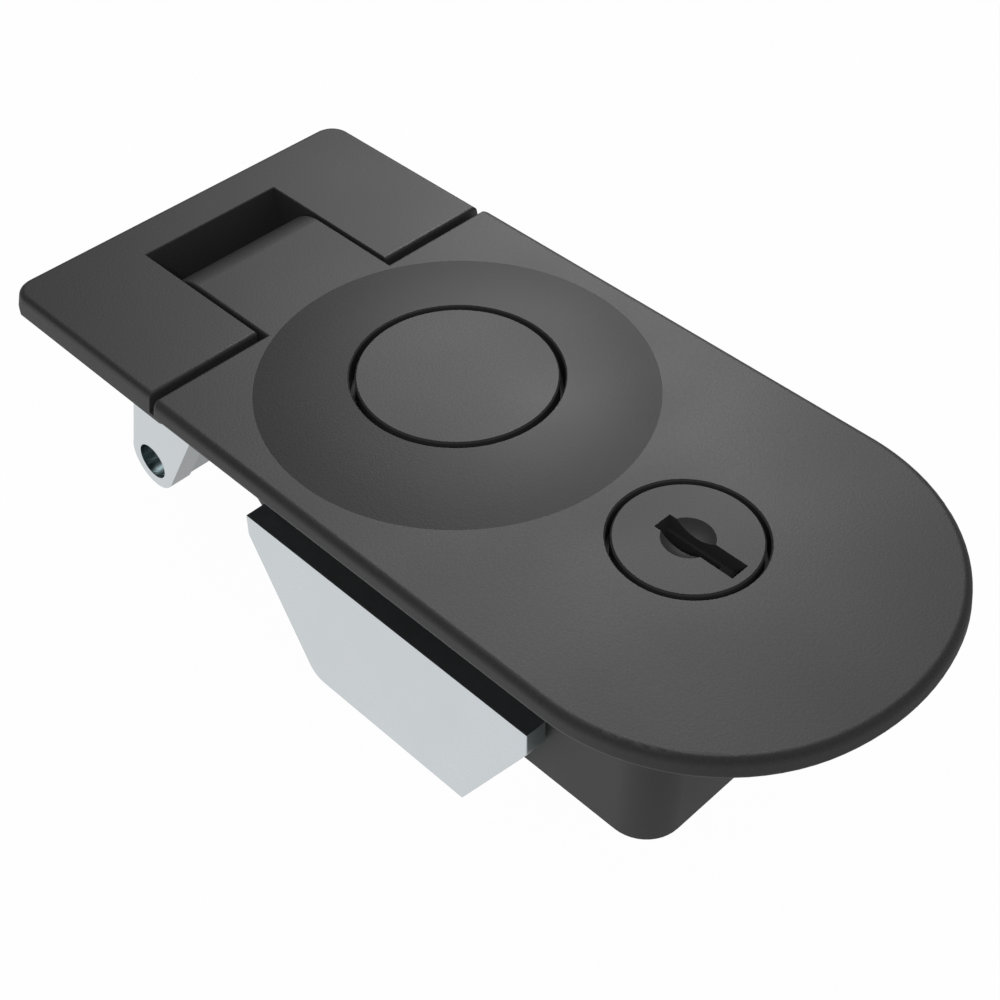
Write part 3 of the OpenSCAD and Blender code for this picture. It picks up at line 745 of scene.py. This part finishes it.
for vertex in housing_piece.data.vertices:
    point = vertex.co
    if on_ledge(point):
        point.y += math.copysign(FRAME_OUTSET, point.y)
    if not in_frame_rim(point):
        continue
    depth = frame_depth(point)
    share = skin_share(depth)
    sideways = CORNER_R - frame_half + abs(point.y)
    endways = CORNER_R - point.x + frame_end
    move = FRAME_OUTSET * share
    if depth < SKIN_DEPTH:
        move += edge_change(frame_top - point.z, FRAME_OUTSET, FRAME_SLOPE, FRAME_ROUND_OFF)
    if min(sideways, endways) > 0:
        angle = math.atan2(sideways, endways)
        move += (CORNER_R - solid_corner(angle)) * share
    else:
        angle = math.pi / 2 if sideways > endways else 0.0
    point.x -= move * math.cos(angle)
    point.y += move * math.sin(angle) * math.copysign(1.0, point.y)
put_in_place(housing_piece, "housing", "housing_body", on_frame_line)

# %% [markdown]
# ## Broken edges on the stamped parts
#
# Plated sheet has no knife edges: plating and tumbling leave every edge slightly round, and that is
# where the metal shows its thin bright lines. The bracket and the pawl are copied and all their
# sharp edges bevelled.

# %% Bevel the sharp edges
BROKEN_EDGE = 0.18 * MM
BROKEN_EDGE_SEGMENTS = 2


def with_broken_edges(node_name, piece_name, body):
    piece = copied_solid(node_name, piece_name)
    bevel_sharp_edges(BROKEN_EDGE, BROKEN_EDGE_SEGMENTS)
    put_in_place(piece, node_name, body)
    return piece


bracket_piece = with_broken_edges("clamp_bracket", "clamp_bracket_sheet", "bracket_body")
pawl_piece = with_broken_edges("pawl", "pawl_sheet", "lever_body")

# %% [markdown]
# ## Threaded clamp screws
#
# Two socket screws draw the bracket against the panel, and their threads show from below. A thread
# is a groove that runs up in a helix: one tooth's profile is drawn as a line of edges, and a Screw
# modifier turns it round and up, one pitch for each turn. Both ends of that tube are cut flat and
# filled. The head is a cylinder with its rims bevelled, and a Boolean modifier cuts a six-sided
# socket into it. The finished screw is then copied to the other side.

# %% The threaded shank
PITCH = 0.8 * MM
ROOT_R = 2.02 * MM
CREST_R = 2.49 * MM
ROOT_TO = 0.1
CREST_FROM = 0.42
HELIX_STEPS = 32
THREAD_FROM = 1.5 * PITCH
HEAD_R = 4.4 * MM
HEAD_H = 3.2 * MM

screw_low, screw_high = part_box("clamp_screws")
screw_x = (screw_low.x + screw_high.x) / 2
screw_y = screw_high.y - HEAD_R
head_top = screw_low.z + HEAD_H
shank = screw_high.z - head_top
turns = math.ceil(shank / PITCH) + 2


def tooth_line():
    """One tooth as a line of edges, a pitch high, on the side of the Z axis."""
    heights = (0.0, ROOT_TO, CREST_FROM, 1 - CREST_FROM, 1 - ROOT_TO, 1.0)
    radii = (ROOT_R, ROOT_R, CREST_R, CREST_R, ROOT_R, ROOT_R)
    points = [(radius, 0.0, share * PITCH) for radius, share in zip(radii, heights)]
    line = bpy.data.meshes.new("tooth")
    line.from_pydata(points, [(at, at + 1) for at in range(len(points) - 1)], [])
    return line


def threaded_shank():
    """A closed threaded rod, from the head's upper side to the screw's tip."""
    rod = bpy.data.objects.new("clamp_screw_pair", tooth_line())
    bpy.context.scene.collection.objects.link(rod)
    select_only(rod)
    helix = rod.modifiers.new("helix", "SCREW")
    helix.screw_offset = PITCH
    helix.iterations = turns
    helix.steps = helix.render_steps = HELIX_STEPS
    bpy.ops.object.modifier_apply(modifier=helix.name)
    bpy.ops.object.mode_set(mode="EDIT")
    bpy.ops.mesh.select_all(action="SELECT")
    bpy.ops.mesh.remove_doubles(threshold=ONE_MICRON)
    for end_z, above in ((THREAD_FROM, False), (THREAD_FROM + shank, True)):
        bpy.ops.mesh.select_all(action="SELECT")
        bpy.ops.mesh.bisect(plane_co=(0, 0, end_z), plane_no=(0, 0, 1), use_fill=True,
                            clear_outer=above, clear_inner=not above, threshold=ONE_MICRON)
    bpy.ops.mesh.select_all(action="SELECT")
    bpy.ops.mesh.normals_make_consistent(inside=False)
    bpy.ops.transform.translate(value=(screw_x, screw_y, head_top - THREAD_FROM))
    bpy.ops.object.mode_set(mode="OBJECT")
    return rod


screw_piece = threaded_shank()
print("a shank of", round(shank / MM, 1), "mm has", math.floor(shank / PITCH), "turns of thread")

# %% The socket head
HEAD_SIDES = 48
HEAD_BEVEL = 0.3 * MM
HEAD_BEVEL_SEGMENTS = 3
SOCKET_SIDES = 6
SOCKET_R = 2.5 * MM
SOCKET_D = 1.6 * MM


def upright_cylinder(sides, radius, height, middle_z):
    """A cylinder on the screw's axis, as the active object and with its place in its mesh."""
    bpy.ops.object.select_all(action="DESELECT")
    bpy.ops.mesh.primitive_cylinder_add(vertices=sides, radius=radius, depth=height,
                                        location=(screw_x, screw_y, middle_z))
    bpy.ops.object.transform_apply(location=True)
    return bpy.context.object


def socket_head():
    """A bevelled head with a hexagonal socket in its underside."""
    head = upright_cylinder(HEAD_SIDES, HEAD_R, HEAD_H, head_top - HEAD_H / 2)
    bevel_sharp_edges(HEAD_BEVEL, HEAD_BEVEL_SEGMENTS)
    key = upright_cylinder(SOCKET_SIDES, SOCKET_R, 2 * SOCKET_D, head_top - HEAD_H)
    socket = head.modifiers.new("socket", "BOOLEAN")
    socket.operation = "DIFFERENCE"
    socket.solver = "EXACT"
    socket.object = key
    bpy.context.view_layer.objects.active = head
    bpy.ops.object.modifier_apply(modifier=socket.name)
    bpy.data.objects.remove(key)
    return head


# %% Join them and copy the screw
head_piece = socket_head()
select_only(screw_piece)
head_piece.select_set(True)
bpy.ops.object.join()
bpy.ops.object.mode_set(mode="EDIT")
bpy.ops.mesh.select_all(action="SELECT")
bpy.ops.mesh.duplicate()
bpy.ops.transform.translate(value=(0, -2 * screw_y, 0))
put_in_place(screw_piece, "clamp_screws", "bracket_body")

# %% [markdown]
# ## The coil springs
#
# The coils behind the button and behind the catch get shorter when the button is pressed. A rigid
# solid can't follow that. Each coil is copied and stands for its solid, and the share of its
# length that it would keep, once the part that leans on it has travelled, is worked out and printed.

# %% The two coils
TRAVEL = {joint["name"]: joint.get("range_m") for joint in frame["record"]["behaviour"]["joints"]}


def giving_coil(node_name, joint_name, axis):
    """A copy that stands for a coil spring; prints how much of its length along axis it would keep.
    """
    piece = copied_solid(node_name, node_name + "_coil")
    put_in_place(piece, node_name, "lever_body")
    low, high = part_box(node_name)
    length = (high - low).dot(axis)
    keep = 1 - TRAVEL[joint_name][1] / length
    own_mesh(piece)
    print(f"{piece.name} keeps {keep:.2f} of its length")
    return piece


button_coil = giving_coil("button_spring", "button_press", Vector((0, 0, 1)))
catch_coil = giving_coil("catch_spring", "catch_slide", Vector((1, 0, 0)))

# %% [markdown]
# ## Giving each piece its finish
#
# The solids arrive with one plain material each. A piece keeps its mesh and only its material slot
# is filled again, so each finish is listed once with the pieces that have it.

# %% Assign the finishes
FINISHES = {
    smooth_black: ["button", "lock_plug"],
    inner_black: ["catch_carrier"],
    seal_rubber: ["gasket", "shaft_seals", "button_seal", "lock_seal"],
    plated_zinc: ["keeper", "lock_barrel", "lock_cam", "clamp_washers"],
    bright_steel: ["pivot_shaft", "shaft_screws", "lever_spring", "carrier_screws", "catch",
                   "keeper_screws", "lock_clip", "cam_screw"],
}
SHAPED = {
    lever_piece: textured_black,
    housing_piece: textured_black,
    bracket_piece: bracket_zinc,
    pawl_piece: pawl_zinc,
    screw_piece: bright_steel,
    button_coil: bright_steel,
    catch_coil: bright_steel,
}


def dress(piece, material):
    piece.data.materials.clear()
    piece.data.materials.append(material)


for material, names in FINISHES.items():
    for name in names:
        dress(nodes[name], material)
for piece, material in SHAPED.items():
    dress(piece, material)
print("finished pieces:", sum(len(names) for names in FINISHES.values()) + len(SHAPED))

# %% [markdown]
# ## The studio
#
# The photo has a pure white surround with hardly a shadow. A white floor under the latch reflects
# into the metal, as the real table does. Seen straight on or in a reflection it glows evenly white,
# and for the rest of the light it is an ordinary pale floor that takes a shadow. In the photo the
# tub's end is darker than its side, so the reflected white fades beyond the round end. From below
# the floor is clear, so that the underside of the latch can be looked at too.

# %% Floor
FLOOR_GAP = 0.5 * MM
FLOOR_SIDE = 6.0
FLOOR_GREY = 0.8
FLOOR_ROUGHNESS = 0.9
SEEN_SHARE = 0.97
MIRRORED_SHARE = 0.85
BRIGHT_TO = 24 * MM
DIM_FROM = 88 * MM
DIM_GLOW = 0.35


def ray_kinds(tool):
    """1 for rays from the camera, and 1 for rays that met gloss or glass first."""
    path = tool.make("ShaderNodeLightPath").socket.node
    camera_ray, gloss, glass = (
        Shade(tool.tree, path.outputs[name])
        for name in ("Is Camera Ray", "Is Glossy Ray", "Is Transmission Ray")
    )
    return camera_ray, tool.maths("MAXIMUM", gloss, glass)


def floor_finish():
    material, tool, shader = start_material("white_floor")
    feed(tool, shader, Base_Color=grey(FLOOR_GREY), Roughness=FLOOR_ROUGHNESS)
    fading = {"Value": coordinate(tool, "X"), "From Min": BRIGHT_TO, "From Max": DIM_FROM,
              "To Min": 1.0, "To Max": DIM_GLOW}
    dimmed = tool.make("ShaderNodeMapRange", {"interpolation_type": "SMOOTHSTEP"}, fading)
    output = next(node for node in tool.tree.nodes if node.type == "OUTPUT_MATERIAL")
    pale = Shade(tool.tree, shader.outputs[0])
    direct, mirrored = ray_kinds(tool)
    share = direct * SEEN_SHARE + mirrored * MIRRORED_SHARE
    strength = direct + mirrored * dimmed
    glow = tool.make("ShaderNodeEmission", None, {"Color": grey(1.0), "Strength": strength})
    mixed = tool.make("ShaderNodeMixShader", None, {0: share, 1: pale, 2: glow})
    below = tool.make("ShaderNodeNewGeometry", output="Backfacing")
    clear = tool.make("ShaderNodeBsdfTransparent")
    one_sided = tool.make("ShaderNodeMixShader", None, {0: below, 1: mixed, 2: clear})
    tool.tree.links.new(one_sided.socket, output.inputs[0])
    return material


bpy.ops.object.select_all(action="DESELECT")
bpy.ops.mesh.primitive_plane_add(size=FLOOR_SIDE, location=(0, 0, solid_low.z - FLOOR_GAP))
floor = bpy.context.object
floor.name = "floor"
floor.data.materials.append(floor_finish())
print("floor at", round(floor.location.z / MM, 1), "mm")

# %% [markdown]
# ## Light
#
# The plate is brightest in the middle of its far side and falls off towards every end, and the dome
# is darkest where it faces the camera. Only one thing does that: a single soft box that stands
# opposite the camera, so that the matt plastic mirrors it as a broad sheen. Measured along the
# plate, it has to stand about 0.4 m away. The pocket, the grooves and the key slot are not black,
# though, so there is also a weak light towards the camera that reaches into them, and an even white
# surround. The first light is kept out of the matt share of the surfaces and the second out of their
# gloss, so that each can be set without the other. In a reflection the surround is white near the
# horizon and dim above, as a room is above a white table, or the black plastic would turn grey.

# %% World
HORIZON = 1.0
ROOM = 0.06
ROOM_FROM = 0.12
AMBIENT = 0.58

world = bpy.data.worlds.new("studio")
bpy.context.scene.world = world
world.use_nodes = True
sky = Shade(world.node_tree)
world.node_tree.nodes.clear()
direction = sky.make("ShaderNodeTexCoord", output="Generated")
rising = sky.make("ShaderNodeSeparateXYZ", None, {0: direction}, "Z")
fade = sky.make("ShaderNodeMapRange", {"interpolation_type": "SMOOTHSTEP"},
                {"Value": rising, "From Max": ROOM_FROM, "To Min": HORIZON, "To Max": ROOM})
direct, mirrored = ray_kinds(sky)
seen = sky.maths("MAXIMUM", direct, mirrored)
strength = seen * (fade - AMBIENT) + AMBIENT
background = sky.make("ShaderNodeBackground", None, {"Color": grey(1.0), "Strength": strength})
world_output = world.node_tree.nodes.new("ShaderNodeOutputWorld")
world.node_tree.links.new(background.socket, world_output.inputs[0])
print("surround has", len(world.node_tree.nodes), "nodes")

# %% Soft boxes
SHEEN_AT = Vector((-0.175, 0.232, 0.295))
SHEEN_SIZE = 0.1
SHEEN_WATTS = 1.2
FILL_AT = CAMERA_AT.normalized()
FILL_SIZE = 0.2
FILL_WATTS = 5.2


def soft_box(name, place, size, watts):
    """A round area light that faces the latch."""
    lamp = bpy.data.lights.new(name, "AREA")
    lamp.shape = "DISK"
    lamp.size = size
    lamp.energy = watts
    lamp_object = bpy.data.objects.new(name, lamp)
    bpy.context.scene.collection.objects.link(lamp_object)
    lamp_object.location = place
    lamp_object.rotation_euler = (-place).to_track_quat("-Z", "Y").to_euler()
    return lamp_object


sheen_light = soft_box("sheen_light", SHEEN_AT, SHEEN_SIZE, SHEEN_WATTS)
sheen_light.visible_diffuse = False
fill_light = soft_box("fill_light", FILL_AT, FILL_SIZE, FILL_WATTS)
fill_light.visible_glossy = False
print("lights:", sheen_light.name, fill_light.name)

# %% [markdown]
# ## The view transform
#
# The render uses the Standard view transform.

# %% Set the view transform
bpy.context.scene.view_settings.view_transform = "Standard"
